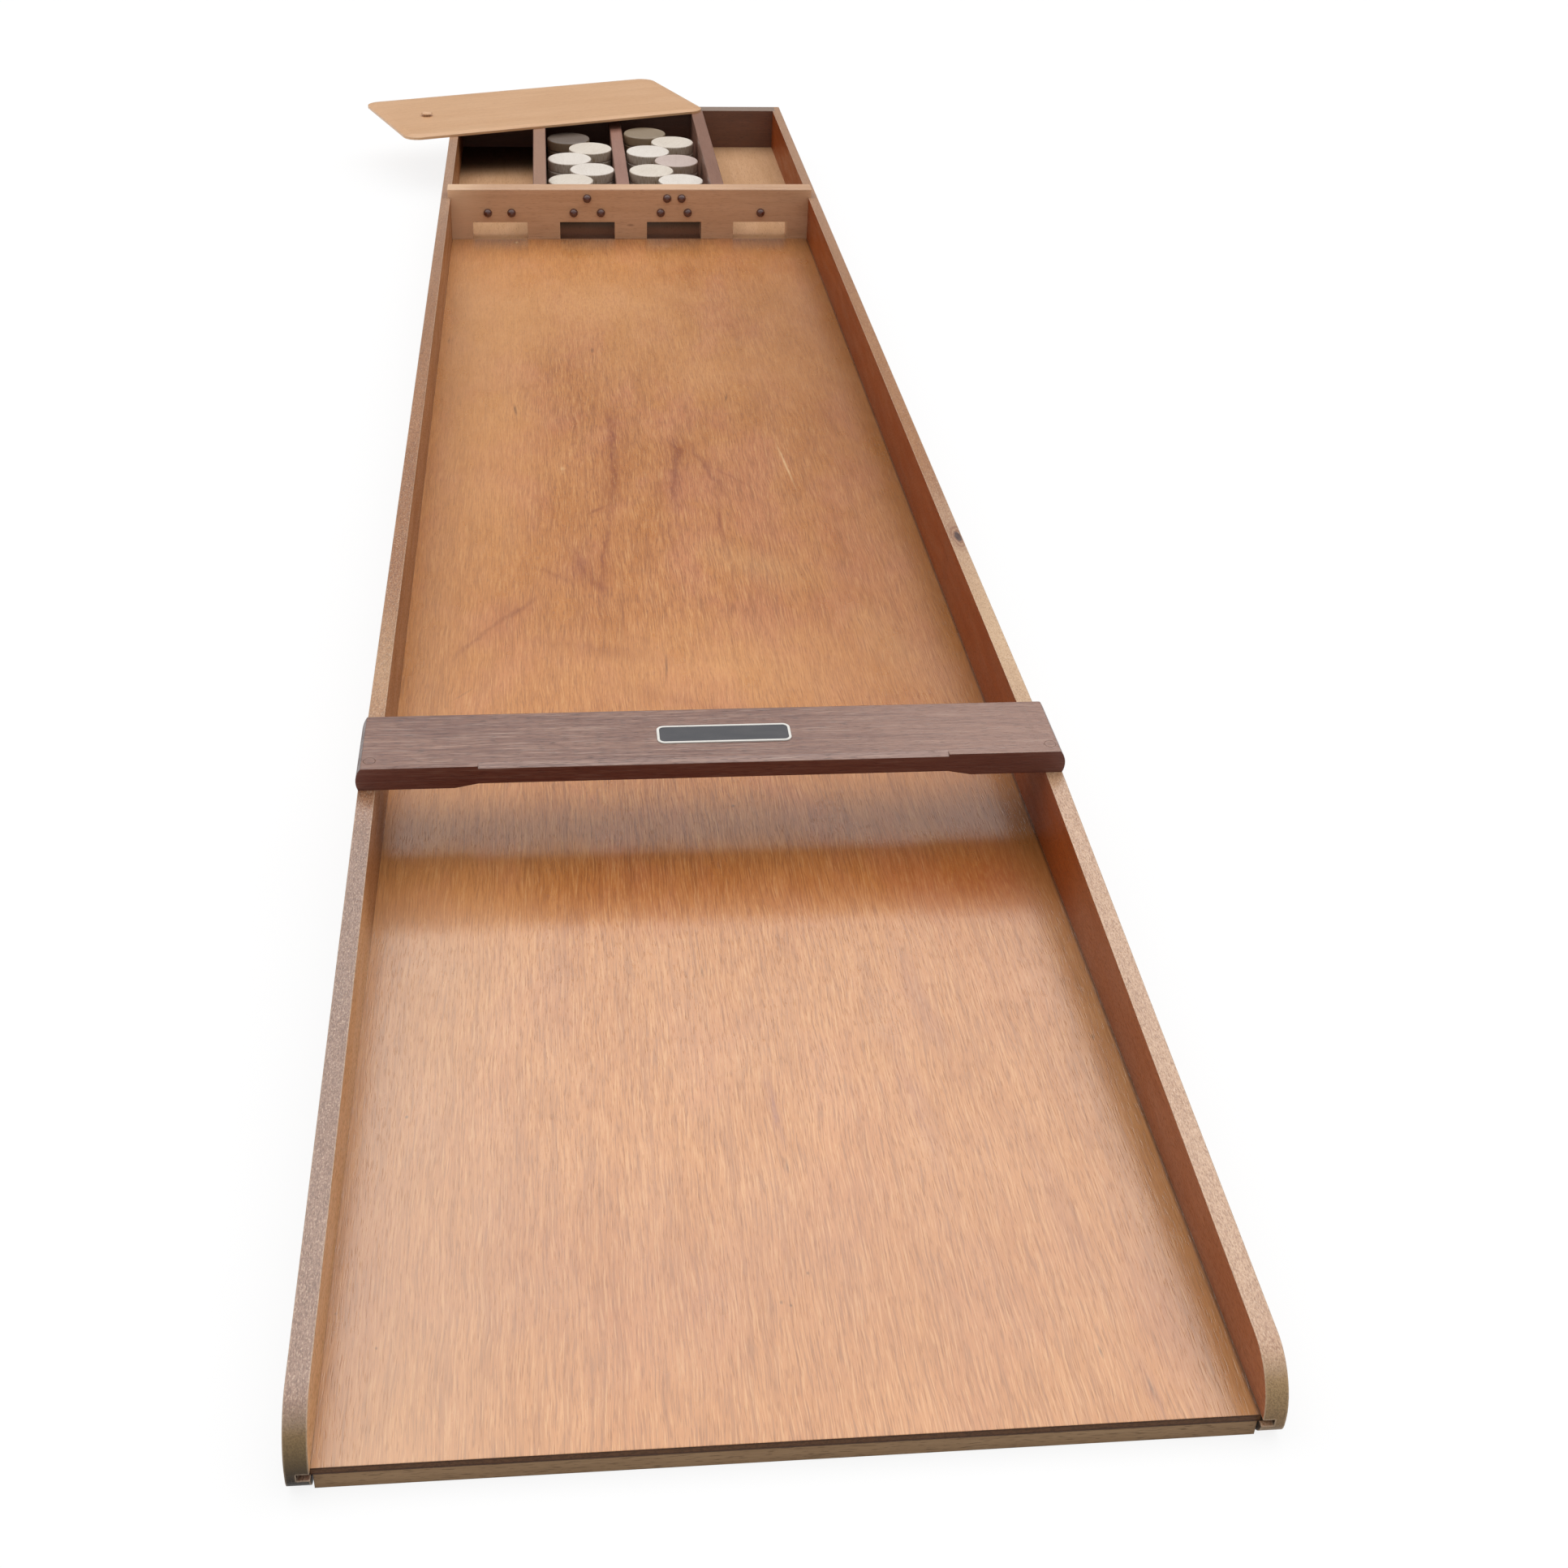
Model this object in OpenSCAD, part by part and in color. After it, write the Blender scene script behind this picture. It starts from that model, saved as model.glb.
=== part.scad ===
// Dutch shuffleboard: a long two-rail lane with a throwing bar, a pierced gate bar, a box of four
// compartments behind it, a loose lid and a set of wooden discs stacked in the two middle compartments.
// X runs across the board, Y along it from the player to the box, Z up.
// The origin is on the underside of the middle batten, halfway along the board.

/* [Board] */
// Length of the board over the side rails
board_length = 1992; // [1940:1:2040]
// Clear width of the lane between the side rails
lane_width = 395; // [388:1:402]
// Thickness of the side rails
rail_thickness = 10; // [9:0.5:12]
// Height of the side rails over the ground, from the throwing bar back
rail_height = 58.5; // [56:0.5:61]
// Height of the side rails over the ground at their front ends
rail_front_height = 38; // [36:0.5:41]
// Radius of the quarter round at the front end of a rail
nose_radius = 26; // [22:1:32]
// Height of the playing surface over the ground
floor_level = 12.5; // [11:0.5:14]
// Thickness of the plywood floor
panel_thickness = 4; // [3:0.5:5]
// How deep the floor sits in the groove of each rail
panel_tongue = 5; // [3:0.5:6]
// Set back of the floor behind the front ends of the rails
panel_setback = 3; // [1:0.5:6]

/* [Battens] */
// Width of each cross batten under the floor
batten_width = 32; // [24:1:40]
// Gap between a batten end and the rail
batten_gap = 0.8; // [0.4:0.1:3]
// Distance of the rear batten from the back of the board
rear_batten_inset = 70; // [50:5:120]

/* [Throwing bar] */
// Distance from the front of the board to the front of the throwing bar
bar_front = 427; // [410:0.5:450]
// Width of the throwing bar along the board
bar_width = 57.5; // [50:0.5:60]
// Thickness of the throwing bar
bar_thickness = 14.5; // [13:0.5:18]
// How far the throwing bar stands out over each rail
bar_overhang = 1; // [0:0.5:3]
// Radius of the rear corners of the throwing bar, seen from above
bar_corner = 5; // [3:0.5:8]
// Radius of the rounded ends of the throwing bar, seen from the front
bar_end_radius = 14; // [11:0.5:18]
// Half length of the relieved middle part
bar_relief_half = 138; // [120:1:150]
// Height of the relief under the middle part
bar_relief = 2.8; // [1:0.2:4]
// Set back of the bevel on the top front edge of the middle part
bar_bevel_back = 4; // [2:0.5:6]
// Drop of that bevel
bar_bevel_drop = 1.6; // [1:0.2:2.4]

/* [Gate bar and box] */
// Distance from the back of the board to the front face of the gate bar
box_length = 398; // [392:1:406]
// Thickness of the gate bar
gate_bar_thickness = 20; // [18:0.5:22]
// Height of the gate bar above the playing surface
gate_bar_height = 55.5; // [52:0.5:58]
// Width of a gate
gate_width = 60.5; // [58:0.5:62]
// Height of a gate
gate_height = 19; // [18:0.5:21]
// Distance from each rail to the nearest gate
gate_margin = 22.8; // [20:0.1:25]
// Depth of the housing of the gate bar and the back wall in each rail
housing = 3; // [2:0.5:4]
// Thickness of the back wall
back_thickness = 20; // [16:1:22]
// Distance of the floor seam behind the front face of the gate bar
seam_offset = 14; // [8:1:16]
// Thickness of the dividers
divider_thickness = 15; // [13:0.5:16]
// Distance of each outer divider outside the middle of the pier in front of it
divider_shift = 3.7; // [1.7:0.1:5.7]
// Shift of the middle divider to the left of the middle
middle_shift = 5.2; // [4:0.1:6]
// How much lower the middle divider is than the other two
middle_drop = 10; // [8:0.5:14]

/* [Score pins] */
// Diameter of a pin head
pin_head = 9.5; // [8:0.5:11]
// Height of a domed pin head
pin_dome = 4.6; // [3.6:0.2:5.4]
// Diameter of the pin shank
pin_shank = 4; // [3:0.5:5]
// Length of the pin shank in the gate bar
pin_depth = 12; // [8:1:15]
// Height of the lower row of pins above the playing surface
pin_low = 29.2; // [27:0.2:32]
// Height of the upper row of pins above the playing surface
pin_high = 45; // [42:0.2:47]

/* [Discs] */
// Diameter of a disc
puck_diameter = 51.6; // [50:0.2:52]
// Thickness of a disc
puck_thickness = 12; // [11:0.2:12.2]
// Edge rounding of a disc
puck_round = 1.6; // [1:0.2:2.4]
// Smallest gap between neighbouring discs
puck_gap = 0.4; // [0.3:0.1:0.8]
// Gap between the front discs and the gate bar
puck_front_gap = 58; // [50:1:60]

/* [Lid] */
// Long side of the loose lid
lid_length = 392; // [376:1:396]
// Short side of the loose lid
lid_width = 181; // [176:1:190]
// Thickness of the lid
lid_thickness = 4; // [3:0.5:5]
// Corner radius of the lid
lid_corner = 18; // [14:1:28]
// Width of the shallow bevel round the lid
lid_bevel = 10; // [6:1:12]
// Turn of the lid seen from above, in degrees
lid_turn = 20.7; // [18:0.1:22]
// Diameter of the knob on the lid
knob_diameter = 14; // [12:0.5:16]
// Height of the knob above the lid
knob_height = 5; // [4:0.5:8]

/* [Hidden] */
// Small overlap used only where one cut must pass right through another
eps = 0.5;
half_lane = lane_width / 2;
half_board = board_length / 2;
// Front and back ends of the rails
y_front = -half_board;
y_back = half_board;
panel_bottom = floor_level - panel_thickness;
// Play of the floor at the bottom of its grooves
groove_play = 0.4;
// Rounding of the lowest front corner of a rail
toe = 9;
// Throwing bar
y_bar = y_front + bar_front;
bar_z = rail_height;
bar_half = half_lane + rail_thickness + bar_overhang;
// Height of the fullest point of its ends over its underside
bar_end_level = 5.5;
// Screws of the throwing bar and the wooden plugs over their heads
screw_r = 1.8;
screw_head_r = 3.4;
screw_head_depth = 1.6;
screw_from_lane = 3;
screw_from_front = 9;
screw_bite = 14;
screw_play = 0.1;
plug_depth = 5;
slot_width = 0.8;
slot_depth = 0.5;
screw_x = half_lane + screw_from_lane;
screw_y = y_bar + screw_from_front;
screw_top = bar_z + bar_thickness - plug_depth;
screw_tip = bar_z - screw_bite;
// Gates, evenly spaced between the rails, and the dividers behind the piers
gate_pitch = (lane_width - 2 * gate_margin - gate_width) / 3;
divider_offset = gate_pitch + divider_shift;
// Gate bar, back wall and compartments
y_gate = y_back - box_length;
y_gate_back = y_gate + gate_bar_thickness;
y_wall = y_back - back_thickness;
bar_span = half_lane + housing;
gate_bar_bevel = 1;
pin_fit = 0.1;
// How far the pin shank runs into its domed head
pin_root = 1;
// Compartments two and three, which hold the discs
comp2_left = -divider_offset + divider_thickness / 2;
comp2_right = -middle_shift - divider_thickness / 2;
comp3_left = -middle_shift + divider_thickness / 2;
comp3_right = divider_offset - divider_thickness / 2;
// Side clearances of the disc columns
side_left = 2.1;
side_right2 = 0.5;
side_right3 = 4.6;
puck_r = puck_diameter / 2;
col2_l = comp2_left + side_left + puck_r;
col2_r = comp2_right - side_right2 - puck_r;
col3_l = comp3_left + side_left + puck_r;
col3_r = comp3_right - side_right3 - puck_r;
// Half step of each zigzag: neighbours stay one disc and one gap apart, across the zigzag and along it
puck_pitch = puck_diameter + puck_gap;
function zigzag_step(across) = sqrt(max(pow(puck_pitch, 2) - pow(across, 2), pow(puck_pitch / 2, 2)));
step2 = zigzag_step(col2_r - col2_l);
step3 = zigzag_step(col3_r - col3_l);
y_puck = y_gate_back + puck_front_gap + puck_r;
// Lid: middle of its front edge, seen from above
lid_side_shift = 72.5;
lid_from_gate = 299.5;
lid_x = -lid_side_shift;
lid_y = y_gate + lid_from_gate;
lid_bevel_drop = 1.2;
// Distance of the knob from the left end of the lid
knob_from_end = 53;

// Side rail seen from the side: flat back part, falling front part, quarter round nose
module rail_side() {
  nose_y = y_front + nose_radius;
  nose_z = rail_front_height - nose_radius;
  toe_r = min(toe, nose_z);
  union() {
    polygon([[nose_y, 0], [y_back, 0], [y_back, rail_height], [y_bar, rail_height],
      [nose_y, rail_front_height]]);
    intersection() {
      translate([nose_y, nose_z]) circle(r = nose_radius, $fn = 96);
      translate([y_front - eps, nose_z]) square([nose_radius + 2 * eps, nose_radius + 2 * eps]);
    }
    translate([y_front, toe_r]) square([nose_radius + eps, nose_z - toe_r + eps]);
    translate([y_front + toe_r, 0]) square([nose_radius - toe_r + eps, toe_r + eps]);
    translate([y_front + toe_r, toe_r]) circle(r = toe_r, $fn = 48);
  }
}

// Right hand rail; the left one is its mirror image
module rail_solid() {
  x0 = half_lane;
  difference() {
    translate([x0, 0, 0]) rotate([90, 0, 90]) linear_extrude(height = rail_thickness) rail_side();
    // groove for the floor
    translate([x0 - eps, y_front - eps, panel_bottom])
      cube([panel_tongue + groove_play + eps, board_length - back_thickness + eps, panel_thickness]);
    // housing of the gate bar
    translate([x0 - eps, y_gate, floor_level])
      cube([housing + eps, gate_bar_thickness, rail_height]);
    // rebate of the back wall
    translate([x0 - eps, y_wall, -eps])
      cube([housing + eps, back_thickness + eps, rail_height + 2 * eps]);
    // pilot hole for the screw of the throwing bar
    translate([screw_x, screw_y, screw_tip - eps])
      cylinder(r = screw_r + screw_play, h = screw_bite + 2 * eps, $fn = 40);
  }
}

module rail_left() {
  color("burlywood") mirror([1, 0, 0]) rail_solid();
}

module rail_right() {
  color("burlywood") rail_solid();
}

// Plywood floor of the lane, held in the grooves of the rails
module floor_panel() {
  w = lane_width + 2 * panel_tongue;
  l = y_gate + seam_offset - (y_front + panel_setback);
  color("sandybrown")
    translate([-w / 2, y_front + panel_setback, panel_bottom]) cube([w, l, panel_thickness]);
}

// Lighter floor of the box, in the same grooves
module box_floor() {
  w = lane_width + 2 * panel_tongue;
  y0 = y_gate + seam_offset;
  color("tan") translate([-w / 2, y0, panel_bottom]) cube([w, y_wall - y0, panel_thickness]);
}

// One cross batten glued under the floor; y is its front face
module batten(y) {
  w = lane_width - 2 * batten_gap;
  translate([-w / 2, y, 0]) cube([w, batten_width, panel_bottom]);
}

module batten_front() {
  color("peru") batten(y_front + panel_setback);
}

module batten_middle() {
  color("peru") batten(-batten_width / 2);
}

module batten_rear() {
  color("peru") batten(y_back - rear_batten_inset - batten_width);
}

// Throwing bar seen from above, with rounded rear corners
module bar_plan() {
  l = 2 * bar_half;
  union() {
    translate([-bar_half, 0]) square([l, bar_width - bar_corner]);
    translate([-bar_half + bar_corner, 0]) square([l - 2 * bar_corner, bar_width]);
    for (x = [-1, 1])
      translate([x * (bar_half - bar_corner), bar_width - bar_corner]) circle(r = bar_corner, $fn = 48);
  }
}

// What is cut from the right hand end of the throwing bar, seen from the front, to round it
module bar_end_waste() {
  middle = bar_half - bar_end_radius;
  difference() {
    translate([middle, -eps]) square([bar_end_radius + eps, bar_thickness + 2 * eps]);
    translate([middle, bar_end_level]) circle(r = bar_end_radius, $fn = 96);
  }
}

module cross_bar() {
  run_out = 14;
  h = bar_relief_half;
  color("sienna") difference() {
    translate([0, y_bar, bar_z]) linear_extrude(height = bar_thickness) bar_plan();
    // relief under the middle part, with sloped ends
    translate([0, y_bar - eps, bar_z]) rotate([90, 0, 0])
      mirror([0, 0, 1]) linear_extrude(height = bar_width + 2 * eps)
      polygon([[-h - run_out, -eps], [-h - run_out, 0], [-h, bar_relief], [h, bar_relief],
        [h + run_out, 0], [h + run_out, -eps]]);
    // rounded ends
    for (s = [0, 1]) mirror([s, 0, 0]) translate([0, y_bar - eps, bar_z]) rotate([90, 0, 0])
      mirror([0, 0, 1]) linear_extrude(height = bar_width + 2 * eps) bar_end_waste();
    // bevel on the top front edge of the middle part
    translate([-h, y_bar, bar_z + bar_thickness]) rotate([90, 0, 90])
      linear_extrude(height = 2 * h)
      polygon([[-eps, -bar_bevel_drop - eps * bar_bevel_drop / bar_bevel_back],
        [bar_bevel_back, 0], [bar_bevel_back, eps], [-eps, eps]]);
    // counterbored screw holes
    for (s = [-1, 1]) translate([s * screw_x, screw_y, 0]) {
      translate([0, 0, bar_z - eps])
        cylinder(r = screw_r + screw_play, h = bar_thickness + 2 * eps, $fn = 40);
      translate([0, 0, screw_top - screw_head_depth])
        cylinder(r = screw_head_r + screw_play, h = screw_head_depth + plug_depth + eps, $fn = 48);
    }
  }
}

// Two screws through the ends of the throwing bar into the rails
module cross_bar_screws() {
  color("dimgray") for (s = [-1, 1]) translate([s * screw_x, screw_y, 0]) difference() {
    union() {
      translate([0, 0, screw_tip])
        cylinder(r = screw_r, h = screw_top - screw_tip - screw_head_depth / 2, $fn = 40);
      translate([0, 0, screw_top - screw_head_depth])
        cylinder(r = screw_head_r, h = screw_head_depth, $fn = 48);
    }
    // slot of the head
    translate([-screw_head_r - eps, -slot_width / 2, screw_top - slot_depth])
      cube([2 * (screw_head_r + eps), slot_width, slot_depth + eps]);
  }
}

// Wooden plugs over the screw heads, flush with the top of the throwing bar
module cross_bar_plugs() {
  color("sienna") for (s = [-1, 1]) translate([s * screw_x, screw_y, screw_top])
    cylinder(r = screw_head_r, h = plug_depth, $fn = 48);
}

// Rounded rectangle made of squares and circles
module rounded_plan(l, w, r) {
  union() {
    translate([-l / 2 + r, -w / 2]) square([l - 2 * r, w]);
    translate([-l / 2, -w / 2 + r]) square([l, w - 2 * r]);
    for (x = [-1, 1]) for (y = [-1, 1])
      translate([x * (l / 2 - r), y * (w / 2 - r)]) circle(r = r, $fn = 48);
  }
}

// Blank plate on the throwing bar: light rim and dark field
plate_x = 7;
plate_y = y_bar + bar_width / 2;
plate_length = 80;
plate_width = 19;
plate_rim = 1.5;
plate_height = 0.8;
plate_corner = 4.5;
field_bed = 0.4;
field_height = 0.3;

module field_plan() {
  rounded_plan(plate_length - 2 * plate_rim, plate_width - 2 * plate_rim, plate_corner - plate_rim);
}

module badge_plate() {
  color("white") translate([plate_x, plate_y, bar_z + bar_thickness]) difference() {
    linear_extrude(height = plate_height) rounded_plan(plate_length, plate_width, plate_corner);
    translate([0, 0, field_bed]) linear_extrude(height = plate_height) field_plan();
  }
}

module badge_field() {
  color("dimgray") translate([plate_x, plate_y, bar_z + bar_thickness + field_bed])
    linear_extrude(height = field_height) field_plan();
}

// Score pins as sideways place and height, one list for each gate: two, three, four and one
gate_x = [for (i = [-1.5 : 1 : 1.5]) i * gate_pitch];
pin_pair = 13;
pin_base = 15;
pin_upper = 8;
pins_a = [[-pin_pair, pin_low], [pin_pair, pin_low]];
pins_b = [[-pin_base, pin_low], [pin_base, pin_low], [0, pin_high]];
pins_c = [[-pin_base, pin_low], [pin_base, pin_low], [-pin_upper, pin_high], [pin_upper, pin_high]];
pins_d = [[0, pin_low]];
all_pins = [pins_a, pins_b, pins_c, pins_d];

// End view of the gate bar: y runs back from its front face, both top edges are bevelled
module gate_bar_end() {
  t = gate_bar_thickness;
  h = gate_bar_height;
  b = gate_bar_bevel;
  polygon([[0, 0], [t, 0], [t, h - b], [t - b, h], [b, h], [0, h - b]]);
}

// Gate bar with four gates at floor level and blind holes for the score pins
module gate_bar() {
  hole_depth = pin_depth + eps;
  color("peru") difference() {
    translate([-bar_span, y_gate, floor_level]) rotate([90, 0, 90])
      linear_extrude(height = 2 * bar_span) gate_bar_end();
    for (x = gate_x) translate([x - gate_width / 2, y_gate - eps, floor_level - eps])
      cube([gate_width, gate_bar_thickness + 2 * eps, gate_height + eps]);
    for (g = [0 : 3]) for (p = all_pins[g])
      translate([gate_x[g] + p[0], y_gate + hole_depth, floor_level + p[1]])
      rotate([90, 0, 0]) cylinder(r = pin_shank / 2 + pin_fit, h = hole_depth + eps, $fn = 40);
  }
}

// Domed pins of one gate
module pins(g) {
  // radius of the sphere that gives the dome
  rs = (pow(pin_head / 2, 2) + pow(pin_dome, 2)) / (2 * pin_dome);
  color("saddlebrown") for (p = all_pins[g])
    translate([gate_x[g] + p[0], y_gate, floor_level + p[1]]) rotate([90, 0, 0]) union() {
      translate([0, 0, -pin_depth]) cylinder(r = pin_shank / 2, h = pin_depth + pin_root, $fn = 40);
      rotate_extrude($fn = 48) intersection() {
        translate([0, pin_dome - rs]) circle(r = rs, $fn = 96);
        square([pin_head, pin_dome + eps]);
      }
    }
}

module pins_gate_a() {
  pins(0);
}

module pins_gate_b() {
  pins(1);
}

module pins_gate_c() {
  pins(2);
}

module pins_gate_d() {
  pins(3);
}

// Back wall of the box, let into the ends of the rails
module back_wall() {
  color("rosybrown") translate([-bar_span, y_wall, 0])
    cube([2 * bar_span, back_thickness, rail_height]);
}

// Upright divider from the gate bar to the back wall
divider_bevel = 0.8;

module divider(x, h) {
  t = divider_thickness;
  b = divider_bevel;
  translate([x, y_wall, floor_level]) rotate([90, 0, 0])
    linear_extrude(height = y_wall - y_gate_back)
    polygon([[-t / 2, 0], [t / 2, 0], [t / 2, h - b], [t / 2 - b, h], [-t / 2 + b, h],
      [-t / 2, h - b]]);
}

module divider_left() {
  color("rosybrown") divider(-divider_offset, rail_height - floor_level);
}

module divider_middle() {
  color("rosybrown") divider(-middle_shift, rail_height - floor_level - middle_drop);
}

module divider_right() {
  color("rosybrown") divider(divider_offset, rail_height - floor_level);
}

// Thin lid: straight sides and round corners share one bevelled edge profile
module lid_edge() {
  polygon([[0, 0], [lid_corner, 0], [lid_corner, lid_thickness - lid_bevel_drop],
    [lid_corner - lid_bevel, lid_thickness], [0, lid_thickness]]);
}

module lid_plate() {
  a = lid_length / 2 - lid_corner;
  c = lid_width / 2 - lid_corner;
  union() {
    translate([-a, -c, 0]) cube([2 * a, 2 * c, lid_thickness]);
    for (s = [0, 1]) mirror([s, 0, 0]) {
      translate([a, c, 0]) rotate([90, 0, 0]) linear_extrude(height = 2 * c) lid_edge();
      for (q = [0, 1]) mirror([0, q, 0])
        translate([a, c, 0]) rotate_extrude(angle = 90, $fn = 96) lid_edge();
    }
    for (s = [0, 1]) mirror([0, s, 0])
      translate([-a, c, 0]) rotate([90, 0, 90]) linear_extrude(height = 2 * a) lid_edge();
  }
}

// Places its children in the lid's own frame: middle of the lid, underside at the rail tops
module lid_place() {
  translate([lid_x, lid_y, rail_height]) rotate([0, 0, lid_turn])
    translate([0, lid_width / 2, 0]) children();
}

module lid() {
  color("burlywood") lid_place() lid_plate();
}

// Turned knob near the left end of the lid: narrow neck and a quarter ellipse on top
module lid_knob() {
  r = knob_diameter / 2;
  foot_r = 0.7 * r;
  neck_r = 0.58 * r;
  neck_z = 0.25 * knob_height;
  cap_z = 0.45 * knob_height;
  cap_h = knob_height - cap_z;
  color("burlywood") lid_place() translate([-lid_length / 2 + knob_from_end, 0, lid_thickness])
    rotate_extrude($fn = 64) polygon(concat([[0, 0], [foot_r, 0], [neck_r, neck_z]],
      [for (a = [0 : 9 : 90]) [r * cos(a), cap_z + cap_h * sin(a)]]));
}

// One disc with rounded edges; comp is the compartment, k its place from the front, n its layer
module puck(comp, k, n) {
  odd = (k % 2 == 1);
  x = comp == 2 ? (odd ? col2_r : col2_l) : (odd ? col3_l : col3_r);
  y = y_puck + k * (comp == 2 ? step2 : step3);
  e = puck_round;
  t = puck_thickness;
  color("linen") translate([x, y, floor_level + n * t])
    rotate_extrude($fn = 96) union() {
      square([puck_r - e, t]);
      translate([0, e]) square([puck_r, t - 2 * e]);
      for (z = [e, t - e]) translate([puck_r - e, z]) circle(r = e, $fn = 32);
    }
}

module puck_2a1() {
  puck(2, 0, 0);
}

module puck_2a2() {
  puck(2, 0, 1);
}

module puck_2a3() {
  puck(2, 0, 2);
}

module puck_2b1() {
  puck(2, 1, 0);
}

module puck_2b2() {
  puck(2, 1, 1);
}

module puck_2b3() {
  puck(2, 1, 2);
}

module puck_2c1() {
  puck(2, 2, 0);
}

module puck_2c2() {
  puck(2, 2, 1);
}

module puck_2c3() {
  puck(2, 2, 2);
}

module puck_2d1() {
  puck(2, 3, 0);
}

module puck_2d2() {
  puck(2, 3, 1);
}

module puck_2d3() {
  puck(2, 3, 2);
}

module puck_2e1() {
  puck(2, 4, 0);
}

module puck_2e2() {
  puck(2, 4, 1);
}

module puck_2e3() {
  puck(2, 4, 2);
}

module puck_3a1() {
  puck(3, 0, 0);
}

module puck_3a2() {
  puck(3, 0, 1);
}

module puck_3a3() {
  puck(3, 0, 2);
}

module puck_3b1() {
  puck(3, 1, 0);
}

module puck_3b2() {
  puck(3, 1, 1);
}

module puck_3b3() {
  puck(3, 1, 2);
}

module puck_3c1() {
  puck(3, 2, 0);
}

module puck_3c2() {
  puck(3, 2, 1);
}

module puck_3c3() {
  puck(3, 2, 2);
}

module puck_3d1() {
  puck(3, 3, 0);
}

module puck_3d2() {
  puck(3, 3, 1);
}

module puck_3d3() {
  puck(3, 3, 2);
}

module puck_3e1() {
  puck(3, 4, 0);
}

module puck_3e2() {
  puck(3, 4, 1);
}

module puck_3e3() {
  puck(3, 4, 2);
}

module puck_3f1() {
  puck(3, 5, 0);
}

module puck_3f2() {
  puck(3, 5, 1);
}

module puck_3f3() {
  puck(3, 5, 2);
}

floor_panel();
box_floor();
rail_left();
rail_right();
batten_front();
batten_middle();
batten_rear();
cross_bar();
cross_bar_screws();
cross_bar_plugs();
badge_plate();
badge_field();
gate_bar();
pins_gate_a();
pins_gate_b();
pins_gate_c();
pins_gate_d();
back_wall();
divider_left();
divider_middle();
divider_right();
lid();
lid_knob();
puck_2a1();
puck_2a2();
puck_2a3();
puck_2b1();
puck_2b2();
puck_2b3();
puck_2c1();
puck_2c2();
puck_2c3();
puck_2d1();
puck_2d2();
puck_2d3();
puck_2e1();
puck_2e2();
puck_2e3();
puck_3a1();
puck_3a2();
puck_3a3();
puck_3b1();
puck_3b2();
puck_3b3();
puck_3c1();
puck_3c2();
puck_3c3();
puck_3d1();
puck_3d2();
puck_3d3();
puck_3e1();
puck_3e2();
puck_3e3();
puck_3f1();
puck_3f2();
puck_3f3();
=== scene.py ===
# A dutch shuffleboard: finishes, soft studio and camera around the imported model.
import math

import bpy
from mathutils import Matrix, Vector


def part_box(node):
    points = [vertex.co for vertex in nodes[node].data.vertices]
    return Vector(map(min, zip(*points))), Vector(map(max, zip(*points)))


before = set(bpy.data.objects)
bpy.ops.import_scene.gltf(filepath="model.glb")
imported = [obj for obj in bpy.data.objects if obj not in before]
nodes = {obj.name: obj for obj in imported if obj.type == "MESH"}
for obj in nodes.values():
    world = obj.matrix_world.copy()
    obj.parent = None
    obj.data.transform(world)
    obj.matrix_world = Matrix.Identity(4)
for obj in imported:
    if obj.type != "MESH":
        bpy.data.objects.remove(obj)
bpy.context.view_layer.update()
scene = bpy.context.scene
MM = 0.001
X, Y, Z = 0, 1, 2
WHITE = (1, 1, 1, 1)


# Sizes and places, read from the imported model
lane_half = -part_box("rail_left")[1].x
board_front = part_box("rail_left")[0].y
floor_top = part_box("floor_panel")[1].z
gate_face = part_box("gate_bar")[0].y


# Camera at the photograph's viewing angle
CAMERA_PLACE = Vector((-0.0876, -1.4941, 0.6734))
CAMERA_PITCH = math.radians(32.47)
CAMERA_YAW = math.radians(-5.788)
CAMERA_ROLL = math.radians(1.670)
SENSOR_WIDTH = 36.0
LENS = 43.556
SHIFT = (0.03634, -0.02324)
FARTHEST_SEEN = 50


def make_camera():
    level = Vector((-math.sin(CAMERA_YAW), math.cos(CAMERA_YAW), 0))
    across = Vector((math.cos(CAMERA_YAW), math.sin(CAMERA_YAW), 0))
    up = Vector((0, 0, 1))
    forward = math.cos(CAMERA_PITCH) * level - math.sin(CAMERA_PITCH) * up
    raised = math.sin(CAMERA_PITCH) * level + math.cos(CAMERA_PITCH) * up
    right = math.cos(CAMERA_ROLL) * across + math.sin(CAMERA_ROLL) * raised
    top = -math.sin(CAMERA_ROLL) * across + math.cos(CAMERA_ROLL) * raised
    data = bpy.data.cameras.new("photo_camera")
    data.sensor_width = SENSOR_WIDTH
    data.lens = LENS
    data.shift_x = SHIFT[0]
    data.shift_y = SHIFT[1]
    data.clip_end = FARTHEST_SEEN
    camera = bpy.data.objects.new("photo_camera", data)
    turn = Matrix((right, top, -forward)).transposed().to_4x4()
    camera.matrix_world = Matrix.Translation(CAMERA_PLACE) @ turn
    scene.collection.objects.link(camera)
    scene.camera = camera


make_camera()
scene.view_settings.view_transform = "Standard"


# How squarely a face has to look along an axis: from where it doesn't count to where it counts fully
FACE_CUT = (0.6, 0.8)
SHARP_CUT = (0.7, 0.9)
ROUND_CUT = (0.3, 0.9)


def rgb(text):
    """Linear colour of a screen colour written as #rrggbb."""
    parts = [int(text[i:i + 2], 16) / 255 for i in (1, 3, 5)]
    return tuple(((c + 0.055) / 1.055) ** 2.4 if c > 0.04045 else c / 12.92 for c in parts) + (1.0,)


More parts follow.
